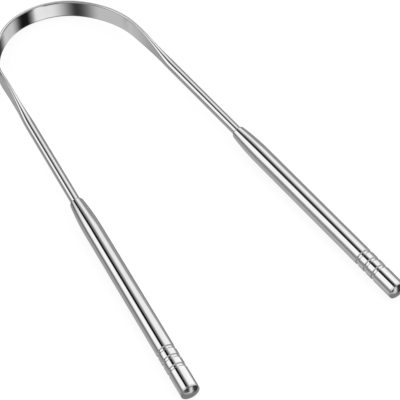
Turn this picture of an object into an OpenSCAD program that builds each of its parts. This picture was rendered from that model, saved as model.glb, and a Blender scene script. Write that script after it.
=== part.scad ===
// Tongue scraper: one steel wire, rolled flat round its front to make the scraping blade and left
// round along both legs, with a tube handle swaged on each leg and a domed plug in each tube's end.
// It lies flat, as on a shelf: +Z up, +Y towards the blade, origin under the middle of its outline.

/* [Wire] */
// Diameter of the round wire, as both legs keep it
wire_diameter = 2.7; // [2.2:0.05:3]
// Length of wire hidden in each handle, from the handle's mouth
tang_length = 14; // [10:0.5:24]
// Chamfer round the hidden ends of the wire
tang_chamfer = 0.3; // [0.1:0.05:0.6]

/* [Blade] */
// Height of the blade, from its lower edge to its upper edge
blade_height = 5.4; // [4:0.1:7]
// Thickness of the blade
blade_thickness = 0.9; // [0.6:0.05:1.2]
// Length of the blade before it starts to turn round, from its middle along the bend
blade_half_length = 34; // [22:0.5:40]
// Length over which the rolling fades out, from flat blade to round wire
forging_length = 18; // [8:0.5:34]

/* [Bend] */
// Bend radius round the front of the blade
front_radius = 18; // [16:0.5:21]
// Half of the angle that the front bend covers
front_half_angle = 41; // [25:0.5:50]
// Distance from the handle mouths forward to the centre of the front bend
front_reach = 53.3; // [45:0.1:65]
// Distance between the two legs at the handle mouths
mouth_spacing = 49.7; // [46:0.1:58]
// Angle at which each arm leans outward
splay_angle = 4.7; // [2:0.1:6]
// Angle by which the blade dips below the line of the handles
dip_angle = 6.2; // [1:0.1:9]
// Radius of the bend that makes the dip
dip_radius = 60; // [20:5:80]
// Distance from the handle mouths to the middle of the bend that makes the dip
dip_reach = 45.7; // [30:0.1:56]

/* [Handles] */
// Diameter of the handle tube
handle_diameter = 5; // [4.6:0.1:6]
// Length of the handle tube, from its mouth to the plug
handle_length = 66.8; // [55:0.1:90]
// Wall of the handle tube
tube_wall = 0.8; // [0.6:0.05:0.9]
// Length of the tapered nose
nose_length = 11; // [6:0.5:14]
// Wall of the nose at its mouth
nose_wall = 0.55; // [0.5:0.05:0.65]
// Rounding of the nose's lip
nose_rounding = 0.45; // [0.2:0.05:0.5]
// Length of the nose that grips the wire
grip_length = 5; // [3:0.5:6]
// Length over which the inside opens from the grip to the bore
grip_taper = 2.5; // [1:0.5:4]

/* [Rolled grooves] */
// Number of grooves rolled round each handle
groove_count = 3; // [1:1:5]
// Width of each groove
groove_width = 1.2; // [0.6:0.1:1.6]
// Depth of each groove
groove_depth = 0.2; // [0.1:0.05:0.4]
// Distance from each groove to the next
groove_pitch = 3; // [2.5:0.1:4]
// Distance from the last groove's middle to the end of the tube
groove_setback = 6.7; // [5:0.1:9]

/* [End plugs] */
// Height of the plug's dome
dome_height = 0.8; // [0.5:0.1:2]
// Height of the plug's rim below the dome
rim_height = 0.3; // [0.2:0.05:0.8]
// Rounding between the rim and the dome
rim_rounding = 0.25; // [0.1:0.05:0.4]
// Length of plug hidden in the tube beyond the first groove's middle
shank_lead = 2.4; // [1:0.1:5]
// Chamfer at the shank's hidden end and along the seam between plug and tube
seam_chamfer = 0.1; // [0.05:0.01:0.2]

/* [Hidden] */

// Faces round each turned piece
turned_faces = 96;
// Points round each section of the wire
section_points = 24;
// Steps along each half of the shaped wire, the nose, each small rounding, each groove and the dome
wire_steps = 40;
nose_steps = 14;
lip_steps = 5;
groove_steps = 6;
dome_steps = 10;
steel_colour = "#cdd0d3";
blade_colour = "#dcdfe2";
plug_colour = "#b9bcc0";

wire_radius = wire_diameter/2;
handle_radius = handle_diameter/2;
bore_radius = handle_radius - tube_wall;

// Plan of the bend. The side bends run on from the front bend, and their radius is the one that
// ends them exactly on the legs' straight lines.
arm_turn = 90 - splay_angle;
side_turn = arm_turn - front_half_angle;
side_radius = (mouth_spacing/2*cos(splay_angle) - front_reach*sin(splay_angle)
    - front_radius*cos(side_turn))/(1 - cos(side_turn));
front_arc = front_radius*front_half_angle*PI/180;
side_arc = side_radius*side_turn*PI/180;
arc_length = front_arc + side_arc;
arc_end = plan_of_turn(arm_turn);
leg_length = arc_end.y/cos(splay_angle);
wire_half_length = arc_length + leg_length + tang_length;

// Place on the bend, in plan, where the wire has turned by an angle from its middle
function plan_of_turn(turn) =
    let (front = min(turn, front_half_angle))
    [front_radius*sin(front) + side_radius*(sin(turn) - sin(front)),
     front_reach + front_radius*cos(front) + side_radius*(cos(turn) - cos(front))];

// Angle that the wire has turned at a distance along it from the blade's middle
function turn_at(along) =
    along < front_arc ? along/front_radius*180/PI
    : min(arm_turn, front_half_angle + (along - front_arc)/side_radius*180/PI);

// Place of the wire's axis, in plan, at a distance along it from the blade's middle
function plan_at(along) =
    along < arc_length ? plan_of_turn(turn_at(along))
    : arc_end + (along - arc_length)*[sin(splay_angle), -cos(splay_angle)];

// Dip of the wire below the handles' plane, at a distance forward of the handle mouths
dip_start = dip_reach - dip_radius*tan(dip_angle/2);
function dip_slope(forward) =
    forward < dip_start ? 0
    : min(dip_angle, asin(min(1, (forward - dip_start)/dip_radius)));
function dip_at(forward) =
    let (slope = dip_slope(forward))
    slope < dip_angle ? dip_radius*(1 - cos(slope)) : (forward - dip_reach)*tan(dip_angle);

// Section of the wire. The forging spreads it into a flat strip with round edges. The height
// follows a smooth step, and the thickness follows from the area, which changes as smoothly: a
// section with half height h and half thickness t has the area 4ht - (4 - pi)t^2.
round_area = PI*wire_radius^2;
blade_area = PI*(blade_thickness/2)^2 + blade_thickness*(blade_height - blade_thickness);
function smooth_step(share) = share^2*(3 - 2*share);
function blend(from, to, share) = from + (to - from)*share;
function roundness(along) =
    smooth_step(max(0, min(1, (along - blade_half_length)/forging_length)));
function half_height(along) = blend(blade_height/2, wire_radius, roundness(along));
function half_thickness(along) =
    let (height = half_height(along), area = blend(blade_area, round_area, roundness(along)))
    (2*height - sqrt(4*height^2 - (4 - PI)*area))/(4 - PI);

// Ring of points round the wire at a signed distance along it from the blade's middle: negative on
// the left, positive on the right. A part of the ring may be drawn in, for a chamfered end.
function wire_ring(signed, inset = 0) =
    let (
        along = abs(signed),
        side = sign(signed),
        turn = side*turn_at(along),
        plan = plan_at(along),
        slope = dip_slope(plan.y),
        ahead = [cos(turn), -sin(turn), sin(turn)*tan(slope)],
        up = [0, sin(slope), cos(slope)],
        out = cross(up, ahead/norm(ahead)),
        middle = [side*plan.x, plan.y, -dip_at(plan.y)],
        height = half_height(along) - inset,
        thickness = half_thickness(along) - inset
    )
    [for (point = [0:section_points - 1])
        let (angle = 360*point/section_points)
        middle + out*thickness*cos(angle)
            + up*(sign(sin(angle))*(height - thickness) + thickness*sin(angle))];

// Distances along one half of the wire at which it gets a ring, from the blade's middle. Past the
// shaped length the wire is straight and round, so one ring near its end is enough.
dip_along = arc_length + (arc_end.y - dip_start)/cos(splay_angle);
shaped_length = max(arc_length, dip_along, blade_half_length + forging_length);
half_stations = [
    for (step = [1:wire_steps]) shaped_length*step/wire_steps,
    wire_half_length - tang_chamfer];

// Skin through rings of points that follow each other, closed by a flat face at each end
module skin(rings) {
    count = len(rings[0]);
    last = len(rings) - 1;
    polyhedron(
        points = [for (ring = rings) each ring],
        faces = concat(
            [for (ring = [0:last - 1], point = [0:count - 1])
                let (
                    here = ring*count + point,
                    beside = ring*count + (point + 1)%count
                )
                each [[here, here + count, beside], [beside, here + count, beside + count]]],
            [[for (point = [0:count - 1]) point]],
            [[for (point = [count - 1:-1:0]) last*count + point]]),
        convexity = 8);
}

// Depth of a rolled groove at a distance from its middle: the roller leaves a round-bottomed arc
groove_radius = ((groove_width/2)^2 + groove_depth^2)/(2*groove_depth);
function groove_dip(across) =
    groove_depth - groove_radius + sqrt(groove_radius^2 - across^2);
// Distance from the mouth to the middle of a groove
function groove_place(groove) =
    handle_length - groove_setback - (groove_count - 1 - groove)*groove_pitch;
// Outline of a wall of a given radius along all the grooves, as [radius, distance from the mouth]
function grooved_wall(radius) =
    [for (groove = [0:groove_count - 1], step = [0:groove_steps])
        let (across = groove_width*(step/groove_steps - 1/2))
        [radius - groove_dip(across), groove_place(groove) + across]];

// Nose of the handle: a rounded lip, then an arc that meets the plain tube without a corner
lip_radius = wire_radius + nose_wall;
nose_rise = handle_radius - lip_radius;
nose_run = nose_length - nose_rounding;
nose_arc = (nose_rise^2 + nose_run^2)/(2*nose_rise);
lip_outline = [for (step = [0:lip_steps])
    let (angle = 90*step/lip_steps)
    [lip_radius - nose_rounding*(1 - sin(angle)), nose_rounding*(1 - cos(angle))]];
nose_outline = [for (step = [1:nose_steps])
    let (back = nose_run*(1 - step/nose_steps))
    [handle_radius - nose_arc + sqrt(nose_arc^2 - back^2), nose_length - back]];

// The outline runs up the outside and back down the inside, where each groove stands in as a bead
module handle_outline() {
    inside = [
        [wire_radius, 0],
        [wire_radius, grip_length],
        [bore_radius, grip_length + grip_taper],
        each grooved_wall(bore_radius),
        [bore_radius, handle_length]];
    polygon(concat(
        lip_outline,
        nose_outline,
        grooved_wall(handle_radius),
        [[handle_radius, handle_length - seam_chamfer], [handle_radius - seam_chamfer, handle_length]],
        [for (point = [len(inside) - 1:-1:0]) inside[point]]));
}

// Plug: a shank that the rolled beads lock in the bore, a rim that the tube ends on, and a dome
shank_end = groove_place(0) - shank_lead;
rim_end = handle_length + rim_height;
// The dome is the one sphere that meets the rim's rounding without a corner
rounding_place = handle_radius - rim_rounding;
dome_radius = (rounding_place^2 + dome_height^2 - rim_rounding^2)/(2*(dome_height - rim_rounding));
dome_centre = rim_end + dome_height - dome_radius;
dome_half_angle = asin(rounding_place/(dome_radius - rim_rounding));
dome_outline = concat(
    [for (step = [0:lip_steps - 1])
        let (angle = blend(90, dome_half_angle, step/lip_steps))
        [rounding_place + rim_rounding*sin(angle), rim_end + rim_rounding*cos(angle)]],
    [for (step = [0:dome_steps])
        let (angle = dome_half_angle*(1 - step/dome_steps))
        [dome_radius*sin(angle), dome_centre + dome_radius*cos(angle)]]);

module plug_outline() {
    polygon(concat(
        [[0, shank_end], [bore_radius - seam_chamfer, shank_end], [bore_radius, shank_end + seam_chamfer]],
        grooved_wall(bore_radius),
        [[bore_radius, handle_length],
         [handle_radius - seam_chamfer, handle_length],
         [handle_radius, handle_length + seam_chamfer]],
        dome_outline));
}

// Rest on a flat surface. The part touches at the blade's lower edge in front and at both plug rims
// behind, so it is turned until those are level, then raised and centred over the origin.
front_height = blade_height/2;
front_middle = [front_reach + front_radius, -dip_at(front_reach + front_radius)];
front_foot = front_middle - front_height*[sin(dip_angle), cos(dip_angle)];
rear_foot = [-rim_end*cos(splay_angle), -handle_radius];
rest_angle = atan((rear_foot.y - front_foot.y)/(front_foot.x - rear_foot.x));
function turned(place) =
    [place.x*cos(rest_angle) - place.y*sin(rest_angle), place.x*sin(rest_angle) + place.y*cos(rest_angle)];
front_lean = dip_angle - rest_angle;
front_end = turned(front_middle).x + blade_thickness/2
    + (blade_height - blade_thickness)/2*sin(front_lean);
rear_end = -dome_centre*cos(splay_angle)*cos(rest_angle) - dome_radius;
centre_forward = (front_end + rear_end)/2;
lift = -turned(rear_foot).y;

module at_rest() {
    translate([0, -centre_forward, lift]) rotate([rest_angle, 0, 0]) children();
}

// Turns an outline, drawn from the mouth backward, about the right arm's axis
module turn_on_right_arm() {
    translate([mouth_spacing/2, 0, 0]) rotate([90, 0, splay_angle])
        rotate_extrude($fn = turned_faces) children();
}

module scraper_bow() {
    tip = wire_half_length;
    color(blade_colour) at_rest() skin([
        wire_ring(-tip, tang_chamfer),
        for (station = len(half_stations) - 1; station >= 0; station = station - 1)
            wire_ring(-half_stations[station]),
        wire_ring(0),
        for (station = half_stations) wire_ring(station),
        wire_ring(tip, tang_chamfer)]);
}

module right_handle() {
    color(steel_colour) at_rest() turn_on_right_arm() handle_outline();
}

module left_handle() {
    color(steel_colour) at_rest() mirror([1, 0, 0]) turn_on_right_arm() handle_outline();
}

module right_end_plug() {
    color(plug_colour) at_rest() turn_on_right_arm() plug_outline();
}

module left_end_plug() {
    color(plug_colour) at_rest() mirror([1, 0, 0]) turn_on_right_arm() plug_outline();
}

scraper_bow();
left_handle();
right_handle();
left_end_plug();
right_end_plug();
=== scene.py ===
import math

import bpy
import numpy as np
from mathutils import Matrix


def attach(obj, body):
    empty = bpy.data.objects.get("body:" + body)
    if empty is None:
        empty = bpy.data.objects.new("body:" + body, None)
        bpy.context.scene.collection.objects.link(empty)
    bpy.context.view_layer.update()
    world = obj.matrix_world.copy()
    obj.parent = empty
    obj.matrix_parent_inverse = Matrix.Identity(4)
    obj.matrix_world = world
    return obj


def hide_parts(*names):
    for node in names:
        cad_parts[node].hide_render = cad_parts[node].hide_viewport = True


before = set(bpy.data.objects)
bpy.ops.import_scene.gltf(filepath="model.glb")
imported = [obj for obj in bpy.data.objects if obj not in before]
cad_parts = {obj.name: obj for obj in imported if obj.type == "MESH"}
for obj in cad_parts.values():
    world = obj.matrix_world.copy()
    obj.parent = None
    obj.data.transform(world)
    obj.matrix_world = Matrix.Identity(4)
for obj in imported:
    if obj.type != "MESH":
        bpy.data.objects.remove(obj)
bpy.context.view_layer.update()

MM = 0.001

# The part's own measures, in millimetres and radians, as its source has them
WIRE_RADIUS = 1.35
TANG_LENGTH, TANG_CHAMFER = 14.0, 0.3
BLADE_HEIGHT, BLADE_THICKNESS = 5.4, 0.9
BLADE_HALF_LENGTH, FORGING_LENGTH = 34.0, 18.0
FRONT_RADIUS, FRONT_HALF_ANGLE, FRONT_REACH = 18.0, math.radians(41), 53.3
MOUTH_SPACING, SPLAY = 49.7, math.radians(4.7)
DIP, DIP_RADIUS, DIP_REACH = math.radians(6.2), 60.0, 45.7
HANDLE_RADIUS, HANDLE_LENGTH, TUBE_WALL = 2.5, 66.8, 0.8
NOSE_LENGTH, NOSE_WALL, NOSE_ROUNDING = 11.0, 0.55, 0.45
GRIP_LENGTH, GRIP_TAPER = 5.0, 2.5
GROOVE_COUNT, GROOVE_WIDTH, GROOVE_DEPTH, GROOVE_PITCH, GROOVE_SETBACK = 3, 1.2, 0.2, 3.0, 6.7
DOME_HEIGHT, RIM_HEIGHT, RIM_ROUNDING = 0.8, 0.3, 0.25
SHANK_LEAD, SHANK_CHAMFER = 2.4, 0.1

# Small forms that the looks have of their own: each groove's walls, the dome's edge and the seam before it
GROOVE_WALL = 0.36
EDGE_ROUNDING, SEAM = 0.12, 0.04
# Gaps that keep the hidden faces of two pieces apart, in the bore and where the plug sits on the tube
BORE_GAP, SEAT_GAP = 0.01, 0.005
# A narrow land beside each edge keeps the smooth shading of the long faces flat
LAND = 0.03

# How finely the wire is meshed: the middle stretch that isn't straight, the rest, and its section
SHAPED_REACH, SHAPED_RINGS, STRAIGHT_RINGS = 62, 420, 14
ROUND_STEPS, FLAT_STEPS = 14, 4
# How finely the turned pieces are meshed, round their axis and along it
TURNED_FACES = 144
LIP_RINGS, NOSE_RINGS, BODY_RINGS, WALL_STEPS = 11, 37, 9, 8
EDGE_RINGS, DOME_RINGS = 7, 25
# Smallest rings, which the end caps close: on the shank and, as an angle, on the dome
CAP_RADIUS, CAP_ANGLE = 0.02, 0.008
SHARP_ANGLE = math.radians(38)
# Length of grain given to the strip that joins a tube's last ring to its first
CLOSING_GRAIN = 0.1

# Plan of the bend
ARM_TURN = math.pi/2 - SPLAY
SIDE_TURN = ARM_TURN - FRONT_HALF_ANGLE
SIDE_RADIUS = (MOUTH_SPACING/2*math.cos(SPLAY) - FRONT_REACH*math.sin(SPLAY)
               - FRONT_RADIUS*math.cos(SIDE_TURN))/(1 - math.cos(SIDE_TURN))
FRONT_ARC = FRONT_RADIUS*FRONT_HALF_ANGLE
ARC_LENGTH = FRONT_ARC + SIDE_RADIUS*SIDE_TURN
DIP_START = DIP_REACH - DIP_RADIUS*math.tan(DIP/2)
ROUND_AREA = math.pi*WIRE_RADIUS**2
BLADE_AREA = math.pi*(BLADE_THICKNESS/2)**2 + BLADE_THICKNESS*(BLADE_HEIGHT - BLADE_THICKNESS)


def plan_of_turn(turn):
    """The wire's middle line seen from above, as (right, forward), where it has turned by this angle."""
    front = np.minimum(turn, FRONT_HALF_ANGLE)
    return np.stack([
        FRONT_RADIUS*np.sin(front) + SIDE_RADIUS*(np.sin(turn) - np.sin(front)),
        FRONT_REACH + FRONT_RADIUS*np.cos(front) + SIDE_RADIUS*(np.cos(turn) - np.cos(front))], -1)


ARC_END = plan_of_turn(np.array(ARM_TURN))
WIRE_HALF_LENGTH = ARC_LENGTH + ARC_END[1]/math.cos(SPLAY) + TANG_LENGTH


def turn_at(along):
    side = FRONT_HALF_ANGLE + (along - FRONT_ARC)/SIDE_RADIUS
    return np.where(along < FRONT_ARC, along/FRONT_RADIUS, np.minimum(ARM_TURN, side))


def plan_at(along):
    beyond = np.maximum(along - ARC_LENGTH, 0)[..., None]
    return plan_of_turn(turn_at(along)) + beyond*np.array([math.sin(SPLAY), -math.cos(SPLAY)])


def dip_slope(forward):
    bent = np.arcsin(np.clip((forward - DIP_START)/DIP_RADIUS, 0, 1))
    return np.minimum(DIP, bent)


def dip_at(forward):
    slope = dip_slope(forward)
    return np.where(slope < DIP, DIP_RADIUS*(1 - np.cos(slope)), (forward - DIP_REACH)*math.tan(DIP))


def roundness(along):
    """0 on the flat blade and 1 on the round leg."""
    share = np.clip((along - BLADE_HALF_LENGTH)/FORGING_LENGTH, 0, 1)
    return share**2*(3 - 2*share)


def half_height(along):
    share = roundness(along)
    return BLADE_HEIGHT/2*(1 - share) + WIRE_RADIUS*share


def half_thickness(along):
    """Half of the thickness that gives the section its area, half-round ends and all."""
    share = roundness(along)
    height = half_height(along)
    area = BLADE_AREA*(1 - share) + ROUND_AREA*share
    return (2*height - np.sqrt(4*height**2 - (4 - math.pi)*area))/(4 - math.pi)


# Rest on the floor: the blade's lower edge in front and both plug rims behind are level
RIM_END = HANDLE_LENGTH + RIM_HEIGHT
ROUNDING_PLACE = HANDLE_RADIUS - RIM_ROUNDING
DOME_RADIUS = (ROUNDING_PLACE**2 + DOME_HEIGHT**2 - RIM_ROUNDING**2)/(2*(DOME_HEIGHT - RIM_ROUNDING))
DOME_CENTRE = RIM_END + DOME_HEIGHT - DOME_RADIUS
FRONT_MIDDLE = (FRONT_REACH + FRONT_RADIUS, -(FRONT_REACH + FRONT_RADIUS - DIP_REACH)*math.tan(DIP))
FRONT_FOOT = (FRONT_MIDDLE[0] - BLADE_HEIGHT/2*math.sin(DIP), FRONT_MIDDLE[1] - BLADE_HEIGHT/2*math.cos(DIP))
REAR_FOOT = (-RIM_END*math.cos(SPLAY), -HANDLE_RADIUS)
REST_ANGLE = math.atan((REAR_FOOT[1] - FRONT_FOOT[1])/(FRONT_FOOT[0] - REAR_FOOT[0]))


def turned(forward, up):
    return (forward*math.cos(REST_ANGLE) - up*math.sin(REST_ANGLE),
            forward*math.sin(REST_ANGLE) + up*math.cos(REST_ANGLE))


FRONT_END = (turned(*FRONT_MIDDLE)[0] + BLADE_THICKNESS/2
             + (BLADE_HEIGHT - BLADE_THICKNESS)/2*math.sin(DIP - REST_ANGLE))
REAR_END = -DOME_CENTRE*math.cos(SPLAY)*math.cos(REST_ANGLE) - DOME_RADIUS
CENTRE_FORWARD = (FRONT_END + REAR_END)/2
LIFT = -turned(*REAR_FOOT)[1]


def at_rest(places):
    """Puts places measured from the handle mouths where the part rests, in metres."""
    forward, up = turned(places[..., 1], places[..., 2])
    return np.stack([places[..., 0], forward - CENTRE_FORWARD, up + LIFT], -1)*MM


def piece_from_rings(name, rings, run, around, closed):
    """A mesh from rings of points. run and around are the distances that its grain follows, in millimetres.
    closed joins the last ring to the first; otherwise each end is capped."""
    count = rings.shape[1]
    total = rings.shape[0]
    faces, grain = [], []
    last = total if closed else total - 1
    for ring in range(last):
        after = (ring + 1) % total
        here, there = run[ring], run[after] if after else run[ring] + CLOSING_GRAIN
        for point in range(count):
            beside = (point + 1) % count
            faces.append((ring*count + point, after*count + point, after*count + beside, ring*count + beside))
            left, right = around[point], around[point + 1]
            grain.extend([(here, left), (there, left), (there, right), (here, right)])
    if not closed:
        for ring, order in ((0, range(count)), (total - 1, range(count - 1, -1, -1))):
            faces.append(tuple(ring*count + point for point in order))
            grain.extend([(run[ring], around[point]) for point in order])
    mesh = bpy.data.meshes.new(name)
    mesh.from_pydata([tuple(place) for place in rings.reshape(-1, 3)], [], faces)
    layer = mesh.uv_layers.new(name="grain")
    layer.data.foreach_set("uv", (np.array(grain, np.float32)*MM).ravel())
    mesh.polygons.foreach_set("use_smooth", [True]*len(mesh.polygons))
    mesh.set_sharp_from_angle(angle=SHARP_ANGLE)
    mesh.validate()
    mesh.update()
    piece = bpy.data.objects.new(name, mesh)
    bpy.context.scene.collection.objects.link(piece)
    return piece


# The bow: one wire, whose section goes from the flat blade to the round leg
def section(height, thickness):
    """Half-round ends joined by flats, as (out, up) points, anticlockwise from the middle of a flat."""
    flat = [(thickness, (height - thickness)*step/FLAT_STEPS) for step in range(FLAT_STEPS)]
    bend = [(thickness*math.cos(angle), height - thickness + thickness*math.sin(angle))
            for angle in np.linspace(0, math.pi/2, ROUND_STEPS + 1)]
    first = np.array(flat + bend)
    second = (first[::-1]*(-1, 1))[1:]
    upper = np.concatenate([first, second])
    return np.concatenate([upper, -upper[1:-1]])


def bow_rings():
    shaped = np.linspace(-SHAPED_REACH, SHAPED_REACH, SHAPED_RINGS)
    straight = np.linspace(SHAPED_REACH, WIRE_HALF_LENGTH - TANG_CHAMFER, STRAIGHT_RINGS)[1:]
    ends = np.array([WIRE_HALF_LENGTH])
    signed = np.concatenate([-ends, -straight[::-1], shaped, straight, ends])
    inset = np.where(np.abs(signed) > WIRE_HALF_LENGTH - TANG_CHAMFER/2, TANG_CHAMFER, 0)
    along, side = np.abs(signed), np.sign(signed)
    turn, plan = side*turn_at(along), plan_at(along)
    slope = dip_slope(plan[:, 1])
    ahead = np.stack([np.cos(turn), -np.sin(turn), np.sin(turn)*np.tan(slope)], -1)
    ahead /= np.linalg.norm(ahead, axis=1)[:, None]
    up = np.stack([np.zeros_like(slope), np.sin(slope), np.cos(slope)], -1)
    out = np.cross(up, ahead)
    middle = np.stack([side*plan[:, 0], plan[:, 1], -dip_at(plan[:, 1])], -1)
    sections = np.array([section(height, thickness) for height, thickness
                         in zip(half_height(along) - inset, half_thickness(along) - inset)])
    rings = middle[:, None] + sections[:, :, :1]*out[:, None] + sections[:, :, 1:]*up[:, None]
    around = np.linspace(0, 2*math.pi*WIRE_RADIUS, sections.shape[1] + 1)
    return at_rest(rings), signed + WIRE_HALF_LENGTH, around


# The turned pieces, as outlines of (radius, distance behind the mouth)
GROOVES = [HANDLE_LENGTH - GROOVE_SETBACK - (GROOVE_COUNT - 1 - place)*GROOVE_PITCH
           for place in range(GROOVE_COUNT)]


def groove_dips():
    """A rolled groove, from its near shoulder to its far one, as (distance from its middle, depth)."""
    floor_half = GROOVE_WIDTH/2 - GROOVE_WALL
    falling = [(-GROOVE_WIDTH/2 - 2*LAND, 0), (-GROOVE_WIDTH/2 - LAND, 0)]
    for step in range(WALL_STEPS + 1):
        share = step/WALL_STEPS
        falling.append((-GROOVE_WIDTH/2 + GROOVE_WALL*share, GROOVE_DEPTH*share**2*(3 - 2*share)))
    middle = [(across, GROOVE_DEPTH) for across in (LAND - floor_half, 0, floor_half - LAND)]
    rising = [(-across, depth) for across, depth in falling[::-1]]
    return falling + middle + rising


def grooved_wall(radius):
    return [(radius - depth, groove + across) for groove in GROOVES for across, depth in groove_dips()]


def tube_outline():
    lip = WIRE_RADIUS + NOSE_WALL
    rise, run = HANDLE_RADIUS - lip, NOSE_LENGTH - NOSE_ROUNDING
    arc = (rise**2 + run**2)/(2*rise)
    bore = HANDLE_RADIUS - TUBE_WALL
    grip = WIRE_RADIUS + BORE_GAP
    outline = [(lip - NOSE_ROUNDING*(1 - math.sin(angle)), NOSE_ROUNDING*(1 - math.cos(angle)))
               for angle in np.linspace(0, math.pi/2, LIP_RINGS)]
    for back in np.linspace(run, 0, NOSE_RINGS)[1:]:
        outline.append((HANDLE_RADIUS - arc + math.sqrt(arc**2 - back**2), NOSE_LENGTH - back))
    for place in np.linspace(NOSE_LENGTH, GROOVES[0] - GROOVE_WIDTH, BODY_RINGS)[1:]:
        outline.append((HANDLE_RADIUS, place))
    outline += grooved_wall(HANDLE_RADIUS)
    outline += [(HANDLE_RADIUS, HANDLE_LENGTH - SEAM - LAND), (HANDLE_RADIUS, HANDLE_LENGTH - SEAM),
                (HANDLE_RADIUS - SEAM, HANDLE_LENGTH)]
    # Back inside, where every second point of the grooves is enough
    outline += [(bore, HANDLE_LENGTH)] + grooved_wall(bore)[::-2]
    outline += [(bore, GRIP_LENGTH + GRIP_TAPER), (grip, GRIP_LENGTH), (grip, 0)]
    return np.array(outline)


def plug_outline():
    bore = HANDLE_RADIUS - TUBE_WALL - BORE_GAP
    shank_end = GROOVES[0] - SHANK_LEAD
    seat = HANDLE_LENGTH + SEAT_GAP
    outline = [(CAP_RADIUS, shank_end), (bore - SHANK_CHAMFER, shank_end), (bore, shank_end + SHANK_CHAMFER)]
    outline += grooved_wall(bore)[::2]
    outline += [(bore, seat), (HANDLE_RADIUS - SEAM, seat), (HANDLE_RADIUS, HANDLE_LENGTH + SEAM),
                (HANDLE_RADIUS, HANDLE_LENGTH + SEAM + LAND), (HANDLE_RADIUS, RIM_END - LAND)]
    place = HANDLE_RADIUS - EDGE_ROUNDING
    radius = (place**2 + DOME_HEIGHT**2 - EDGE_ROUNDING**2)/(2*(DOME_HEIGHT - EDGE_ROUNDING))
    centre = RIM_END + DOME_HEIGHT - radius
    half_angle = math.asin(place/(radius - EDGE_ROUNDING))
    for angle in np.linspace(math.pi/2, half_angle, EDGE_RINGS):
        outline.append((place + EDGE_ROUNDING*math.sin(angle), RIM_END + EDGE_ROUNDING*math.cos(angle)))
    for angle in np.linspace(half_angle, CAP_ANGLE, DOME_RINGS)[1:]:
        outline.append((radius*math.sin(angle), centre + radius*math.cos(angle)))
    return np.array(outline)


def turned_rings(outline, side):
    """Turns an outline about an arm's axis. side is 1 on the right and -1 on the left."""
    angle = np.linspace(0, 2*math.pi, TURNED_FACES, endpoint=False)
    axis = np.array([side*math.sin(SPLAY), -math.cos(SPLAY), 0])
    across = np.array([side*math.cos(SPLAY), math.sin(SPLAY), 0])
    spoke = np.cos(angle)[:, None]*across + np.sin(angle)[:, None]*np.array([0, 0, 1])
    mouth = np.array([side*MOUTH_SPACING/2, 0, 0])
    rings = mouth + outline[:, None, 1:]*axis + outline[:, None, :1]*spoke
    if side > 0:
        rings = rings[:, ::-1]
    steps = np.linalg.norm(np.diff(outline, axis=0), axis=1)
    around = np.linspace(0, 2*math.pi*HANDLE_RADIUS, TURNED_FACES + 1)
    return at_rest(rings), np.concatenate([[0], np.cumsum(steps)]), around


bow = piece_from_rings("polished_bow", *bow_rings(), closed=False)
tubes, plugs = {}, {}
for side, hand in ((1, "right"), (-1, "left")):
    tubes[hand] = piece_from_rings(hand + "_tube", *turned_rings(tube_outline(), side), closed=True)
    plugs[hand] = piece_from_rings(hand + "_dome_plug", *turned_rings(plug_outline(), side), closed=False)


# Materials
def feed(tree, socket, value):
    """Gives an input socket a value, or links another socket to it."""
    if isinstance(value, bpy.types.NodeSocket):
        tree.links.new(value, socket)
    else:
        socket.default_value = value


def node(tree, kind, settings=(), **inputs):
    """Adds a node. Inputs are values or sockets, by name with _ for a space."""
    made = tree.nodes.new(kind)
    for key, value in settings:
        setattr(made, key, value)
    for key, value in inputs.items():
        feed(tree, made.inputs[key.replace("_", " ")], value)
    return made


def maths(tree, operation, *values, clamp=False):
    made = node(tree, "ShaderNodeMath", [("operation", operation), ("use_clamp", clamp)])
    for socket, value in zip(made.inputs, values):
        feed(tree, socket, value)
    return made.outputs[0]


def ramp(tree, value, low, high, start=0.0, end=1.0, kind="SMOOTHSTEP"):
    """Goes from start to end as value goes from low to high, and is level outside."""
    return node(tree, "ShaderNodeMapRange", [("interpolation_type", kind)], Value=value,
                From_Min=low, From_Max=high, To_Min=start, To_Max=end).outputs["Result"]


def noise(tree, place, scale, detail, roughness=0.5, dimensions="2D"):
    return node(tree, "ShaderNodeTexNoise", [("noise_dimensions", dimensions)], Vector=place, Scale=scale,
                Detail=detail, Roughness=roughness).outputs["Fac"]


# Middle of what a noise gives
NOISE_MEAN = 0.5
# Polishing lines: how much they vary the roughness, and their relief in metres with its strength
LINE_ROUGHNESS = 0.8
RELIEF, RELIEF_STRENGTH = 0.000004, 0.10
# Hair scratches: how they are stretched and turned on the grain, the part of the noise that makes them, and
# how much rougher and deeper than the polishing lines they are
HAIR_STRETCH, HAIR_TURN = (260, 5200, 1), 0.22
HAIR_LIMITS = 0.70, 0.76
HAIR_ROUGHNESS, HAIR_DEPTH = 0.08, 0.5
# Haze: its grain per metre, and where in the noise it makes the steel rougher and darker, and how much
HAZE_SCALE = 180.0
HAZE_ROUGH_LIMITS, HAZE_ROUGHNESS = (0.5, 0.75), 0.5
HAZE_SHADE_LIMITS, HAZE_SHADE = (0.35, 0.8), 0.95


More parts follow.
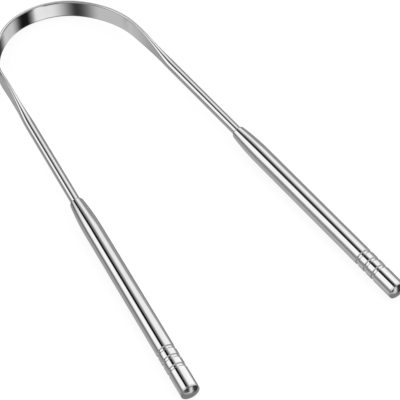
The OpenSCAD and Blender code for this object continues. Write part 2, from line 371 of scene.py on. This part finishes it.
def polished_steel(name, colour, roughness, line_run, line_across):
    """Mirror-polished steel: fine polishing lines along its grain, hair scratches and faint hazing.
    line_run and line_across are the lines' grain per metre along the piece and round it."""
    material = bpy.data.materials.new(name)
    material.use_nodes = True
    tree = material.node_tree
    shader = tree.nodes["Principled BSDF"]
    grain = node(tree, "ShaderNodeUVMap", [("uv_map", "grain")]).outputs["UV"]
    place = node(tree, "ShaderNodeTexCoord").outputs["Object"]
    line_map = node(tree, "ShaderNodeMapping", Vector=grain, Scale=(line_run, line_across, 1))
    hair_map = node(tree, "ShaderNodeMapping", Vector=grain, Scale=HAIR_STRETCH, Rotation=(0, 0, HAIR_TURN))
    lines = noise(tree, line_map.outputs["Vector"], scale=1.0, detail=3.0, roughness=0.6)
    haze = noise(tree, place, scale=HAZE_SCALE, detail=3.0, roughness=0.55, dimensions="3D")
    hair = noise(tree, hair_map.outputs["Vector"], scale=1.0, detail=2.0)
    scratches = ramp(tree, hair, *HAIR_LIMITS)
    uneven = maths(tree, "SUBTRACT", lines, NOISE_MEAN)
    rough = maths(tree, "MULTIPLY_ADD", uneven, roughness*LINE_ROUGHNESS, roughness)
    rough = maths(tree, "MULTIPLY_ADD", ramp(tree, haze, *HAZE_ROUGH_LIMITS), roughness*HAZE_ROUGHNESS, rough)
    rough = maths(tree, "MULTIPLY_ADD", scratches, HAIR_ROUGHNESS, rough, clamp=True)
    hazed = tuple(channel*HAZE_SHADE for channel in colour)
    tone = node(tree, "ShaderNodeMix", [("data_type", "RGBA")], Factor=ramp(tree, haze, *HAZE_SHADE_LIMITS),
                A=(*colour, 1), B=(*hazed, 1))
    bump = node(tree, "ShaderNodeBump", Height=maths(tree, "MULTIPLY_ADD", scratches, -HAIR_DEPTH, lines),
                Strength=RELIEF_STRENGTH, Distance=RELIEF)
    shader.inputs["Metallic"].default_value = 1.0
    feed(tree, shader.inputs["Roughness"], rough)
    feed(tree, shader.inputs["Base Color"], tone.outputs["Result"])
    feed(tree, shader.inputs["Normal"], bump.outputs["Normal"])
    return material


def dress(piece, material, slot, *nodes):
    piece.data.materials.append(material)
    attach(piece, "root")
    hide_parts(*nodes)


PALE_STEEL, PLUG_STEEL = (0.80, 0.80, 0.80), (0.69, 0.69, 0.69)
wire_steel = polished_steel("wire_steel", PALE_STEEL, 0.06, 300, 6000)
handle_steel = polished_steel("handle_steel", PALE_STEEL, 0.05, 300, 6000)
plug_steel = polished_steel("plug_steel", PLUG_STEEL, 0.16, 9000, 200)
dress(bow, wire_steel, "wire_steel", "scraper_bow")
for hand in ("left", "right"):
    dress(tubes[hand], handle_steel, "handle_steel", hand + "_handle")
    dress(plugs[hand], plug_steel, "plug_steel", hand + "_end_plug")

# Studio: plain white light for the scene, and for mirror reflections the soft panels and dark flags of the
# photograph's own studio. Each panel is a strength within soft-edged limits. These are degrees for rise,
# bearing and over, parts of a direction of length 1 for east and north, and distances for slot.
world = bpy.data.worlds.new("studio")
bpy.context.scene.world = world
world.use_nodes = True
sky = world.node_tree
sky.nodes.clear()
towards = node(sky, "ShaderNodeSeparateXYZ", Vector=node(sky, "ShaderNodeTexCoord").outputs["Generated"])
east, north, high = (towards.outputs[axis] for axis in "XYZ")


def number(operation, *values):
    return maths(sky, operation, *values)


def degrees_of(opposite, adjacent):
    return number("DEGREES", number("ARCTAN2", opposite, adjacent))


def rising(value, begin, full):
    return ramp(sky, value, begin, full)


def falling(value, fade, end):
    return ramp(sky, value, fade, end, 1.0, 0.0)


def band(value, begin, full, fade, end):
    """1 between full and fade, falling smoothly to 0 at begin and end."""
    return number("MULTIPLY", rising(value, begin, full), falling(value, fade, end))


def slide(value, low, high, start, end):
    """A straight slope from start to end as value goes from low to high, level outside."""
    return ramp(sky, value, low, high, start, end, kind="LINEAR")


def limited(value, least, most):
    return number("MINIMUM", number("MAXIMUM", value, least), most)


def put(light, strength, *masks):
    """Lays a panel of this strength over the light so far, where all the masks are 1."""
    mask = masks[0]
    for other in masks[1:]:
        mask = number("MULTIPLY", mask, other)
    return node(sky, "ShaderNodeMix", Factor=mask, A=light, B=strength).outputs["Result"]


# Height over the horizon
rise = number("DEGREES", number("ARCSINE", high))
# 0 behind the handles, 90 on the right, -90 on the left
bearing = degrees_of(east, number("MULTIPLY", north, -1.0))
# 0 level on the right, 90 overhead, 180 level on the left
over = degrees_of(high, east)
# The dark slot between the two big panels is a curve on a ceiling one unit up, and slot is the distance
# to its right. LOWEST keeps that ceiling's far parts within reach.
LOWEST = 0.05
SLOT_PLACE, SLOT_BEND_START, SLOT_BEND_LIMIT, SLOT_LEAN, SLOT_CURVE = 0.32, 0.4, 3.0, 0.14, 0.135
height = number("MAXIMUM", high, LOWEST)
ceiling_east, ceiling_north = number("DIVIDE", east, height), number("DIVIDE", north, height)
reach = limited(number("SUBTRACT", ceiling_north, SLOT_BEND_START), 0.0, SLOT_BEND_LIMIT)
bend = number("MULTIPLY", reach, number("MULTIPLY_ADD", reach, SLOT_CURVE, SLOT_LEAN))
slot = number("ADD", number("ADD", ceiling_east, SLOT_PLACE), bend)

below = band(rise, -54, -46, -32, -22)
above = rising(rise, 0, 6)
# The room: a grey that the panels are laid over
light = put(ramp(sky, rise, -25, -12, 0.41, 0.34), 0.32, above)
light = put(light, 0.20, band(rise, -16, -7, 0, 6), falling(east, -0.3, 0.1), rising(north, 0.1, 0.3))
light = put(light, 0.28, falling(north, 0.1, 0.3), falling(rise, -50, -40))
light = put(light, 0.14, rising(north, 0.70, 0.84), falling(rise, 4, 14))
# Below, on the left and on the right: pale ground, which reaches further ahead near the middle on the left
# and ends in a dark strip ahead on the right
left_ahead = number("SUBTRACT", north, slide(over, -134, -128, 0, 0.18))
light = put(light, 0.61, band(bearing, -150, -142, -88, -62), below, falling(left_ahead, 0.36, 0.50))
light = put(light, 0.70, band(bearing, 50, 60, 96, 122), below)
light = put(light, 0.06, band(bearing, 98, 122, 140, 150), below)
# Below and behind, which the blade's inner face shows: a white strip that bows down on both sides of its
# middle, between two dark patches
BOW_MIDDLE, BOW_DROP = -10.0, 0.0014
from_middle = number("SUBTRACT", bearing, BOW_MIDDLE)
bowed_rise = number("MULTIPLY_ADD", number("MULTIPLY", from_middle, from_middle), BOW_DROP, rise)
light = put(light, 0.97, band(bearing, -60, -50, 20, 40), band(bowed_rise, -36, -34.5, -30.5, -29))
light = put(light, 0.05, band(bearing, -84, -56, -55, -6), band(rise, -50, -41, -31, -25))
light = put(light, 0.01, band(bearing, 10, 37, 46, 78), band(rise, -50, -41, -31, -25))
# Just under the horizon behind: a white column with a dark flag on each side, which the domes show
light = put(light, 0.04, band(bearing, -30, -20, 50, 60), band(rise, -32, -24, 2, 10))
light = put(light, 1.0, band(bearing, -2, 7, 15, 24), band(rise, -42, -34, 2, 10))
# Over the horizon behind: a dark strip, with grey overhead
light = put(light, 0.07, band(bearing, -90, -76, 50, 66), band(rise, -2, 5, 9, 17))
light = put(light, 0.48, falling(north, -0.1, 0.1), rising(rise, 9, 17))
# Above and ahead: the right panel down to its slanting lower edge, whose white and whose side towards the
# slot change with the distance ahead
lower_edge = number("ADD", slide(north, 0.45, 0.50, -5, 22), slide(north, 0.50, 0.60, 0, 18))
right_white = ramp(sky, north, 0.44, 0.50, 1.22, 1.05)
slot_far_side = number("MULTIPLY_ADD", limited(north, 0.45, 0.6), 1.25, 0.13)
slot_right = ramp(sky, slot, 0.19, slot_far_side)
light = put(light, right_white, slot_right, rising(number("SUBTRACT", over, lower_edge), -13, 13),
            rising(north, 0.20, 0.28), falling(north, 0.80, 0.95))
# Above on the left: the left panel
light = put(light, 1.17, falling(slot, -0.29, -0.09), falling(over, 157, 179), falling(north, 0.62, 1.0),
            rising(north, -0.10, 0.25), rising(rise, 0, 3))
# The slot between them: black, with a dim shelf along its right side
shelf = ramp(sky, slot, 0.16, 0.28, 0, 0.20)
light = put(light, shelf, rising(slot, -0.29, -0.09), number("SUBTRACT", 1.0, slot_right),
            rising(ceiling_north, -0.22, 0.18), above)
ray = node(sky, "ShaderNodeLightPath")
studio = node(sky, "ShaderNodeBackground", Color=(1, 1, 1, 1), Strength=light)
white = node(sky, "ShaderNodeBackground", Color=(1, 1, 1, 1), Strength=1.0)
seen = node(sky, "ShaderNodeMixShader", Fac=ray.outputs["Is Glossy Ray"])
feed(sky, seen.inputs[1], white.outputs[0])
feed(sky, seen.inputs[2], studio.outputs[0])
node(sky, "ShaderNodeOutputWorld", Surface=seen.outputs[0])

# Floor: white to the camera by a glow of its own, over a darker grey that keeps a trace of the object's
# shadow. Other rays meet plain pale paper, and mirror reflections don't meet it at all.
FLOOR_HALF, FLOOR_HEIGHT = 3.0, -0.0001
FLOOR_GLOW, FLOOR_SHADED, FLOOR_PAPER = 0.84, (0.2, 0.2, 0.2, 1), (0.8, 0.8, 0.8, 1)
floor_mesh = bpy.data.meshes.new("floor")
floor_mesh.from_pydata([(right*FLOOR_HALF, ahead*FLOOR_HALF, FLOOR_HEIGHT)
                        for right, ahead in ((-1, -1), (1, -1), (1, 1), (-1, 1))], [], [(0, 1, 2, 3)])
floor = bpy.data.objects.new("floor", floor_mesh)
bpy.context.scene.collection.objects.link(floor)
paper = bpy.data.materials.new("paper")
paper.use_nodes = True
tree = paper.node_tree
tree.nodes.clear()
glow = node(tree, "ShaderNodeEmission", Strength=FLOOR_GLOW)
matte = node(tree, "ShaderNodeBsdfDiffuse", Color=FLOOR_SHADED)
both = node(tree, "ShaderNodeAddShader")
feed(tree, both.inputs[0], glow.outputs[0])
feed(tree, both.inputs[1], matte.outputs[0])
ray = node(tree, "ShaderNodeLightPath")
plain = node(tree, "ShaderNodeBsdfDiffuse", Color=FLOOR_PAPER)
seen = node(tree, "ShaderNodeMixShader", Fac=ray.outputs["Is Camera Ray"])
feed(tree, seen.inputs[1], plain.outputs[0])
feed(tree, seen.inputs[2], both.outputs[0])
node(tree, "ShaderNodeOutputMaterial", Surface=seen.outputs[0])
floor_mesh.materials.append(paper)
floor.visible_glossy = False

# Camera, where the photograph was taken from
camera = bpy.data.objects.new("camera", bpy.data.cameras.new("camera"))
bpy.context.scene.collection.objects.link(camera)
camera.location = (-0.166396, -0.297697, 0.365123)
camera.rotation_euler = [math.radians(angle) for angle in (42.15438, -0.03181, -31.20987)]
camera.data.sensor_width = 36.0
camera.data.lens = 167.715
camera.data.clip_start = 0.01
bpy.context.scene.camera = camera
bpy.context.scene.view_settings.view_transform = "Standard"
